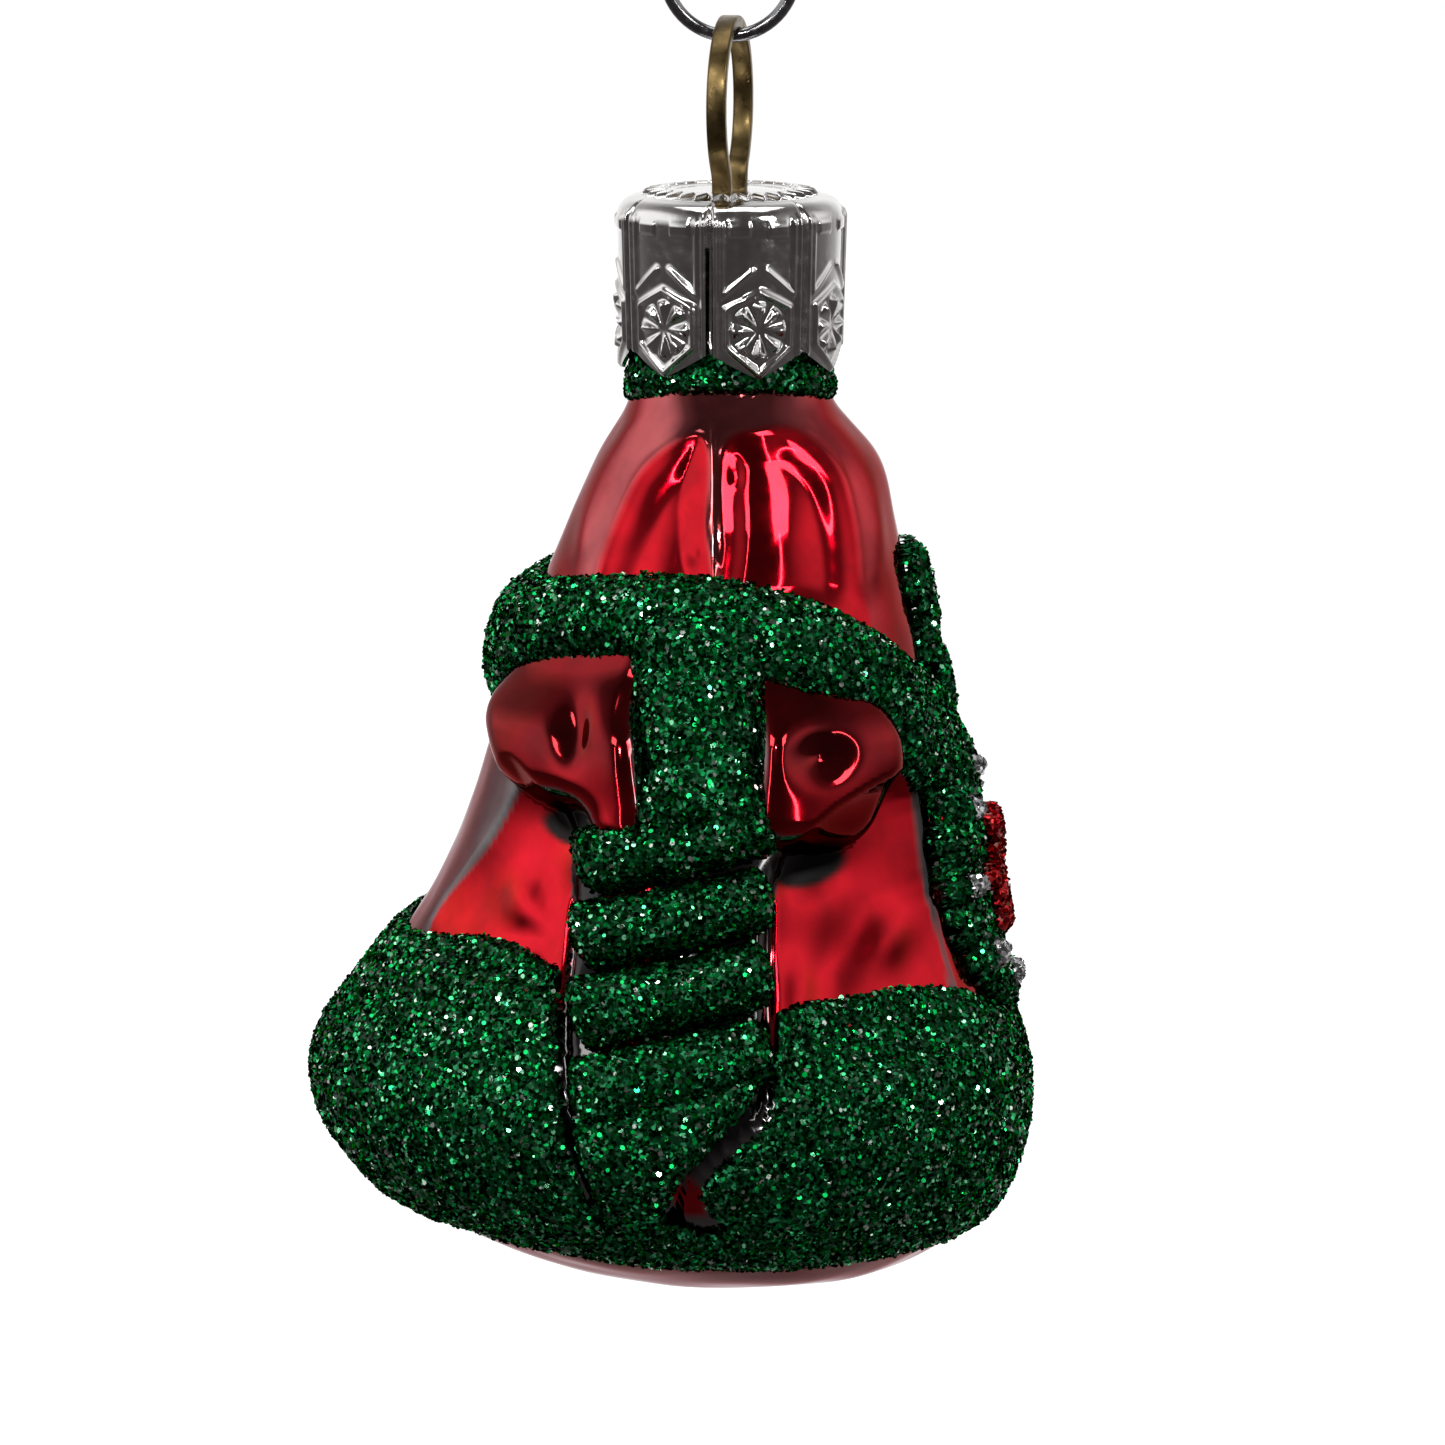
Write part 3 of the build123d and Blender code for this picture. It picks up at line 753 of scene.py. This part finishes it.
def brim():
    """Coat of the rolled brim, open where the cord and its tassel lie."""
    turns, runs = around(np.linspace(58.5, 83.2, 100))
    plain = form(turns, runs)
    x, y, depth = plain[..., 0], plain[..., 1], -plain[..., 2]
    cover = np.minimum(depth - brim_top(x), brim_low(x) - depth)
    on_seam_side = np.abs(y) > 0.4 * half_at(runs)
    gap = np.where(on_seam_side, inside(gap_line, x, depth), -9)
    cover = np.minimum(cover, -gap)
    height = BRIM_COAT_HEIGHT * dome(cover / 0.9) + relief(plain) * smooth(-gap, 0, 1) + 0.05
    coat("brim_glitter", "green", turns, runs, cover, height, ["brim_coat"], closed=True)


def side_patch(name, outline, near, height, nodes, step=0.3):
    """Glitter on a seam side inside an outline; height comes from the depth and the distance to the edge."""
    low, high = outline.min(0) - 0.4, outline.max(0) + 0.4
    x, depth = np.meshgrid(np.arange(low[0], high[0], step), np.arange(low[1], high[1], step))
    turns, runs = on_side(x, depth, near)
    cover = inside(outline, x, depth)
    coat(name, "green", turns, runs, cover, height(depth, cover), nodes)


def strand_outline(left, right, thick):
    """Slanted strip with blunt, slightly rounded ends."""
    a, b = np.array(left, float), np.array(right, float)
    way = (b - a) / np.linalg.norm(b - a)
    off = np.array([-way[1], way[0]]) * thick / 2
    turn = np.linspace(0, pi, 9)[:, None]
    blunt = way * thick * 0.22 * np.sin(turn)
    return np.concatenate([b + off * np.cos(turn) + blunt, a - off * np.cos(turn) - blunt])


def cord(side):
    """Stem, slanted strands of the twist and tassel, on the near or the far seam side."""
    near = side == "near"
    side_patch(side + "_stem", stem_line, near, lambda d, edge: 0.3 + 3.0 * dome(edge / 2.6),
               [side + "_cord_stem"])
    for i in range(STRANDS):
        left = (-8.9 - 0.25 * min(i, 2), 54.5 + STRAND_PITCH * i)
        right = (1.8 - 0.1 * i, 51.9 + STRAND_PITCH * i)
        side_patch(f"{side}_strand_{i + 1}", strand_outline(left, right, STRAND_THICK), near,
                   lambda d, edge: 0.1 + 2.8 * dome(edge / 1.9),
                   [side + "_cord_strands"] if i == 0 else [], 0.22)
    side_patch(side + "_tassel", tassel_line, near,
               lambda d, edge: 0.4 + 2.0 * dome(edge / 1.7) * (1 - 0.7 * smooth(d, 72, 78)),
               [side + "_cord_tassel"])


def front_patch(name, kind, middle, radius_of, tall, base, nodes, edge_round=1.2, step=0.28):
    """Raised patch on the front with its foot in the glass; radius_of gives its outline by direction."""
    reach = 12.0
    y, depth = np.meshgrid(*(np.arange(-reach, reach, step) + place for place in middle))
    across, down = y - middle[0], depth - middle[1]
    distance, way = np.hypot(across, down), np.arctan2(down, across)
    cover = radius_of(way) - distance
    turns, runs = on_front(y, depth)
    sunk = 0.3
    foot = (base + sunk) * smooth(cover, COAT_LIP, 0.25) - sunk
    coat(name, kind, turns, runs, cover, foot + tall(distance, way, depth) * dome(cover / edge_round), nodes)


def oval(wide, above, below):
    """Radius of an oval for each direction, with its own reach above and below the middle."""
    return lambda way: 1 / np.hypot(np.cos(way) / wide, np.sin(way) / np.where(np.sin(way) < 0, above, below))


def wreath():
    """Leafy oval, its flower and its beads, which stand steeper than the glass behind them."""
    leaf_oval = oval(8.2, 10.6, 9.2)
    front_patch("wreath_leaves", "green", (0, WREATH_DEPTH),
                lambda w: leaf_oval(w) + 0.35 * np.cos(WREATH_LEAVES * w),
                lambda r, w, d: (2.5 - 0.1 * np.abs(d - 55)
                                 + 0.3 * np.cos(WREATH_LEAVES * w) * smooth(r, 5, 8)),
                0.1, ["front_wreath"], 2.4)
    front_patch("wreath_flower_petals", "red", (0, WREATH_DEPTH),
                lambda w: 3.9 + 1.1 * np.cos(PETALS * w),
                lambda r, w, d: (1.6 + 0.25 * np.cos(PETALS * w) - 0.1 * (d - 58)
                                 - 0.5 * np.exp(-(r / 0.9) ** 2)),
                1.6, ["wreath_flower"], 0.9)
    for i in range(BEADS):
        way = 2 * pi / BEADS * i
        middle = (6.4 * cos(way), WREATH_DEPTH + 7.2 * sin(way))
        front_patch(f"wreath_bead_{i + 1}", "silver", middle, lambda w: 1.05 + 0.1 * np.cos(3 * w),
                    lambda r, w, d: 2.4 - 0.1 * np.abs(d - 55), 1.0,
                    ["wreath_beads"] if i == 0 else [], 1.0, 0.22)


def bow():
    """Two loops side by side and the knot that hangs from them."""
    for i, (y, depth, wide, long) in enumerate(BOW_BUMPS):
        front_patch(f"front_bow_{i + 1}", "green", (y, depth), oval(wide, long, long),
                    lambda r, w, d: 1.5 - 0.5 * np.exp(-r**2), 0.25,
                    ["front_bow"] if i == 0 else [], 1.7)


# ---------------------------------------------------------------- loose flakes on the coats

def scatter(kind, materials, shares, per_mm2, slot):
    """Flat six-sided flakes over all coats of a kind, tilted at random, in pieces of limited size."""
    quads, normals, areas = [], [], []
    for points, faces in coats[kind]:
        cross = face_normals(points, faces)
        size = np.linalg.norm(cross, axis=1)
        quads.append(points[faces])
        normals.append(cross / np.maximum(size, 1e-9)[:, None])
        areas.append(size)
    quads, normals, areas = map(np.concatenate, (quads, normals, areas))
    count = int(areas.sum() * per_mm2)
    pick = rng.choice(len(areas), count, p=areas / areas.sum())
    u, v = rng.random((2, count, 1))
    a, b, c, d = (quads[pick, k] for k in range(4))
    middle = (a * (1 - u) + b * u) * (1 - v) + (d * (1 - u) + c * u) * v
    normal = normals[pick]
    middle = middle + normal * rng.uniform(0.0, FLAKE_LIFT, (count, 1))
    lean = normal + rng.normal(0, FLAKE_LEAN, (count, 3))
    lean /= np.linalg.norm(lean, axis=1, keepdims=True)
    side = np.cross(lean, rng.normal(size=(count, 3)))
    side /= np.linalg.norm(side, axis=1, keepdims=True)
    other = np.cross(lean, side)
    radius = rng.uniform(*FLAKE_RADIUS, (count, 1, 1))
    turn = (np.arange(6) * pi / 3)[None, :, None]
    corners = middle[:, None] + radius * (side[:, None] * np.cos(turn) + other[:, None] * np.sin(turn))
    shade = rng.choice(len(materials), count, p=shares)
    for part, first in enumerate(range(0, count, FLAKES_PER_PIECE)):
        some = corners[first:first + FLAKES_PER_PIECE]
        faces = np.arange(len(some) * 6).reshape(-1, 6)
        make_piece(f"{kind}_flakes_{part + 1}", some.reshape(-1, 3), faces, materials, slot, "bell", False,
                   shade[first:first + FLAKES_PER_PIECE])


# ---------------------------------------------------------------- cap

def ridge(u, v, segments, wide):
    """Raised lines: 1 on any of the segments, falling off within their width."""
    best = np.zeros(np.shape(u))
    for (ax, ay), (bx, by) in segments:
        dx, dy = bx - ax, by - ay
        t = np.clip(((u - ax) * dx + (v - ay) * dy) / (dx * dx + dy * dy), 0, 1)
        gap = np.hypot(u - ax - t * dx, v - ay - t * dy)
        best = np.maximum(best, np.exp(-(gap / wide) ** 2))
    return best


def cap_relief(panel, depth):
    """Embossing of one panel, which runs from -1 to 1: borders, wings, a flower in a hexagon, and notches."""
    signed = panel * pi * (CAP_RADIUS + CAP_TIP_RADIUS) / 2 / CAP_PANELS
    u, v = np.abs(signed), CAP_TIP - depth
    hexagon = [((0, 5.8), (2.15, 4.7)), ((2.15, 4.7), (2.15, 2.1)), ((2.15, 2.1), (0, 0.3))]
    wings = [((2.5, 10.4), (2.5, 5.5)), ((2.5, 5.5), (0.5, 7.2))]
    border = [((2.95, 10.6), (2.95, 1.6))]
    height = 0.26 * ridge(u, v, hexagon, 0.2) + 0.20 * ridge(u, v, wings, 0.18)
    height += 0.26 * ridge(u, v, border, 0.2) - 0.30 * np.exp(-((u - 3.34) / 0.16) ** 2)
    reach, way = np.hypot(signed, v - 3.2), np.arctan2(v - 3.2, signed)
    from_crease = np.abs((way / (2 * pi) * 8 + 0.5) % 1 - 0.5) * 2
    petals = np.maximum(1 - 1.25 * from_crease, 0) * smooth(reach, 0.0, 1.5) * (1 - smooth(reach, 1.7, 1.95))
    notch_rows = smooth(v, 9.4, 9.6) * (1 - smooth(v, 10.2, 10.5))
    notches = smooth(u, 0.5, 0.7) * (1 - smooth(u, 1.9, 2.1)) * notch_rows
    return height + 0.42 * petals + 0.16 * notches


def cap_outline(panel):
    """Depth of the skirt's lower edge across a panel."""
    return CAP_TIP - (CAP_TIP - CAP_VALLEY) * np.abs(panel) ** 1.15


def cap_panel(angle):
    """Place across its own panel, from -1 to 1, of each angle round the cap."""
    step = 2 * pi / CAP_PANELS
    return ((angle - radians(CAP_FIRST_PANEL) + step / 2) % step) / (step / 2) - 1


def cap_top_row(angle, r):
    """One ring of the slightly domed top, with a zigzag ring between two fine rims."""
    zigzag = np.abs(((angle / (2 * pi) * CAP_ZIGZAGS) % 1) * 2 - 1)
    tooth = smooth(zigzag - np.clip((r - 4.5) / 1.4, 0, 1), -0.12, 0.12)
    ring = smooth(r, 4.3, 4.6) * (1 - smooth(r, 5.7, 5.95))
    rims = 0.12 * np.exp(-((r - 4.1) / 0.16) ** 2) + 0.10 * np.exp(-((r - 6.1) / 0.14) ** 2)
    depth = CAP_TOP + CAP_DOME * (r / CAP_FLAT) ** 2 - 0.32 * tooth * ring - rims
    return np.full(angle.shape, r), depth


def in_cap_openings(places):
    """Which places lie in the clip's two slots or in the slit between two panels."""
    x, y, z = places.T
    turn = radians(CLIP_TURN)
    along = x * cos(turn) + y * sin(turn)
    across = y * cos(turn) - x * sin(turn)
    slots = (np.abs(along) < 0.78) & (np.abs(np.abs(across) - LEG_OFFSET) < 0.52) & (z > -SLOT_LOW)
    border = CAP_FIRST_PANEL - 180 / CAP_PANELS
    off = np.abs((np.degrees(np.arctan2(x, -y)) - border + 180) % 360 - 180)
    slit = (off < 1.1) & (z < -CAP_SLIT_TOP)
    return slots | slit


def cap():
    """Stamped outside of the cap: domed top, round shoulder and embossed skirt, with slots and slit open."""
    panel = cap_panel(CAP_ANGLES)
    rows = [cap_top_row(CAP_ANGLES, r) for r in np.linspace(0.02, CAP_FLAT, 44)]
    for bend in np.linspace(0, pi / 2, 11)[1:]:
        depth = np.full(panel.shape, CAP_SKIRT_TOP - CAP_SHOULDER * cos(bend))
        rows.append((CAP_FLAT + (CAP_SHOULDER + cap_relief(panel, depth)) * sin(bend), depth))
    for share in np.linspace(0, 1, 76)[1:]:
        depth = CAP_SKIRT_TOP + (cap_outline(panel) - CAP_SKIRT_TOP) * share
        taper = (depth - CAP_SKIRT_TOP) / (CAP_TIP - CAP_SKIRT_TOP)
        rows.append((CAP_RADIUS + (CAP_TIP_RADIUS - CAP_RADIUS) * taper + cap_relief(panel, depth), depth))
    faces, cloud = cap_grid(CAP_ANGLES, rows)
    middles = cloud.reshape(-1, 3)[faces].mean(axis=1)
    kept = drop_unused(cloud, faces[~in_cap_openings(middles)])
    piece = make_piece("crown_cap_shell", *kept, [CAP_METAL], "cap_metal", "crown_cap")
    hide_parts("cap")


def cap_lining():
    """Plain inside of the cap, from the lower edge up the skirt and in under the top."""
    angle = CAP_ANGLES[::3]
    level = np.ones(angle.shape)
    edge = cap_outline(cap_panel(angle))
    under_top = CAP_TOP + CAP_DOME + CAP_SHEET
    rows = [(CAP_TIP_RADIUS * level, edge)]
    for share in (1.0, 0.8, 0.5, 0.2, 0.0):
        rows.append(((CAP_TIP_RADIUS - CAP_SHEET) * level, CAP_SKIRT_TOP + (edge - CAP_SKIRT_TOP) * share))
    rows.append((CAP_FLAT * level, (under_top + 0.3) * level))
    rows.append((4.4 * level, under_top * level))
    faces, cloud = cap_grid(angle, rows)
    make_piece("crown_cap_lining", cloud, faces, [CAP_METAL], "cap_metal", "crown_cap")


def cap_grid(angle, rows):
    """Faces and points of rings that are given as (radius, depth) at each angle."""
    radius, depth = (np.array([row[k] for row in rows]) for k in range(2))
    cloud = np.stack([radius * np.sin(angle), -radius * np.cos(angle), -depth], -1)
    return grid_faces(*radius.shape, True), cloud


# ---------------------------------------------------------------- clip

def clip_path():
    """Centre line of the clip from one leg's tip to the other, as (across, depth)."""
    loop, bend, half = CLIP_LOOP_RADIUS, LEG_BEND_RADIUS, LEG_OFFSET
    middle = CLIP_THICK / 2 + loop
    drop = ((loop + bend) ** 2 - (half + bend) ** 2) ** 0.5
    turn = asin((half + bend) / (loop + bend))
    leg = [(4.5, 26.0), (3.85, 22.2), (half, 18.4)]
    straight = [(half, d) for d in np.linspace(17.5, middle + drop, 7)]
    curl = [(half + bend - bend * cos(a), middle + drop - bend * sin(a))
            for a in np.linspace(0.12, pi / 2 - turn, 8)]
    ring = [(loop * sin(a), middle - loop * cos(a)) for a in np.linspace(pi - turn, 0, 40)]
    half_path = leg + straight + curl + ring[1:]
    return np.array(half_path + [(-y, d) for y, d in half_path[-2::-1]])


def clip():
    """Flat wire with softened edges swept along the clip's path."""
    path = clip_path()
    way = np.gradient(path, axis=0)
    way /= np.linalg.norm(way, axis=1, keepdims=True)
    wide, thick, soft = CLIP_WIDE / 2, CLIP_THICK / 2, 0.16
    corners = []
    for quarter, (sx, sy) in enumerate(((1, 1), (-1, 1), (-1, -1), (1, -1))):
        for a in np.linspace(quarter * pi / 2, (quarter + 1) * pi / 2, 4):
            corners.append((sx * (wide - soft) + soft * cos(a), sy * (thick - soft) + soft * sin(a)))
    corners = np.array(corners)
    across = path[:, None, 0] - way[:, None, 1] * corners[None, :, 1]
    depth = path[:, None, 1] + way[:, None, 0] * corners[None, :, 1]
    along = np.broadcast_to(corners[None, :, 0], across.shape)
    turn = radians(CLIP_TURN)
    x = along * cos(turn) - across * sin(turn)
    y = along * sin(turn) + across * cos(turn)
    faces = grid_faces(*across.shape, True)
    piece = make_piece("clip_wire", np.stack([x, y, -depth], -1), faces, [BRASS], "clip_brass", "clip")
    ends = piece.modifiers.new("weld", "WELD")
    ends.merge_threshold = 1e-6
    apply_modifiers(piece)
    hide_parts("hanger_clip")


def hook():
    """The hook's own CAD shape is right, so it only gets its steel."""
    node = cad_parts["wire_hook"]
    node.data.materials.clear()
    node.data.materials.append(STEEL)


# ---------------------------------------------------------------- stage

def room_light():
    """White room. Shiny surfaces see it dim on the camera's side, bright beyond the object and, above the
    horizon, bright at both sides."""
    world = bpy.data.worlds.new("studio")
    bpy.context.scene.world = world
    world.use_nodes = True
    tree = world.node_tree
    pale = tree.nodes["Background"]
    pale.inputs["Color"].default_value = (1, 1, 1, 1)
    pale.inputs["Strength"].default_value = 1.0
    way = add(tree, "ShaderNodeTexCoord")
    split = add(tree, "ShaderNodeSeparateXYZ")
    tree.links.new(way.outputs["Generated"], split.inputs[0])
    shade = ramp(tree, map_range(tree, split.outputs["Y"], -1, 1), [
        (0.0, (0.045, 0.040, 0.040)), (0.50, (0.08, 0.07, 0.07)), (0.72, (0.17, 0.16, 0.16)),
        (0.86, (0.45, 0.44, 0.44)), (0.97, (1.0, 1.0, 1.0))])
    windows = ramp(tree, map_range(tree, split.outputs["X"], -1, 1), [
        (0.0, grey(1.0)), (0.10, grey(0.90)), (0.18, grey(0.13)), (0.26, grey(0.0)),
        (0.76, grey(0.0)), (0.86, grey(0.12)), (0.94, grey(0.65)), (1.0, grey(0.80))])
    above_horizon = map_range(tree, split.outputs["Z"], -0.12, 0.30)
    room = add(tree, "ShaderNodeBackground")
    tree.links.new(mix_colours(tree, above_horizon, shade, windows, "ADD"), room.inputs["Color"])
    ray = add(tree, "ShaderNodeLightPath")
    mix = add(tree, "ShaderNodeMixShader")
    tree.links.new(ray.outputs["Is Glossy Ray"], mix.inputs[0])
    tree.links.new(pale.outputs[0], mix.inputs[1])
    tree.links.new(room.outputs[0], mix.inputs[2])
    tree.links.new(mix.outputs[0], tree.nodes["World Output"].inputs["Surface"])
    bpy.context.scene.view_settings.view_transform = "Standard"


def pale_floor():
    """Wide matt floor below the object, which shiny surfaces don't mirror."""
    half, low = 6.0, cad_box[0][2] - 0.045
    corners = [(-half, -half, low), (half, -half, low), (half, half, low), (-half, half, low)]
    mesh = bpy.data.meshes.new("floor")
    mesh.from_pydata(corners, [], [(0, 1, 2, 3)])
    material, _, shader = new_material("pale_floor", (0.98, 0.98, 0.98), 0.0, 0.7)
    shader.inputs["Specular IOR Level"].default_value = 0.0
    mesh.materials.append(material)
    floor = bpy.data.objects.new("floor", mesh)
    bpy.context.scene.collection.objects.link(floor)
    floor.visible_glossy = False


def soft_light(name, place, target, size, power):
    """Rectangular lamp that points at the target."""
    data = bpy.data.lights.new(name, "AREA")
    data.shape = "RECTANGLE"
    data.size, data.size_y = size
    data.energy = power
    lamp = bpy.data.objects.new(name, data)
    bpy.context.scene.collection.objects.link(lamp)
    lamp.location = place
    lamp.rotation_euler = (Vector(target) - Vector(place)).to_track_quat("-Z", "Y").to_euler()


def studio_lights():
    """Two soft lamps in front, a large one overhead, two narrow strips and a small bright one."""
    centre = Vector((0, 0, LOOP_TOP - 0.055))
    soft_light("key", (-0.36, -0.54, 0.50), centre, (0.26, 0.20), 1.15)
    soft_light("fill", (0.46, -0.48, 0.42), centre, (0.20, 0.22), 1.05)
    soft_light("overhead", (0.0, 0.15, 0.80), centre, (0.7, 0.5), 2.4)
    soft_light("left_strip", (-0.36, -0.62, 0.14), centre, (0.02, 0.40), 0.4)
    soft_light("right_strip", (0.44, -0.50, 0.10), centre, (0.02, 0.40), 0.3)
    soft_light("front_spot", (-0.08, -0.75, 0.42), centre, (0.06, 0.04), 1.2)


def camera():
    """Camera that looks at the near seam side from a little above."""
    target = Vector((-0.0005, 0, LOOP_TOP - 0.0478))
    tilt, away, half_view = radians(9), 0.6, 0.04884
    data = bpy.data.cameras.new("camera")
    data.angle = 2 * np.arctan(half_view / away)
    eye = bpy.data.objects.new("camera", data)
    bpy.context.scene.collection.objects.link(eye)
    eye.location = target + Vector((0, -cos(tilt), sin(tilt))) * away
    eye.rotation_euler = (target - eye.location).to_track_quat("-Z", "Y").to_euler()
    bpy.context.scene.camera = eye


camera()
glass()
collar()
band()
brim()
for seam_side in ("near", "far"):
    cord(seam_side)
wreath()
bow()
cap()
cap_lining()
clip()
hook()
green_per_mm2 = 16.0
scatter("green", GREEN_FLAKES, GREEN_SHARES, green_per_mm2, "green_glitter")
scatter("silver", SILVER_FLAKES, SILVER_SHARES, 20.0, "silver_glitter")
scatter("red", RED_FLAKES, RED_SHARES, 18.0, "red_glitter")
room_light()
pale_floor()
studio_lights()
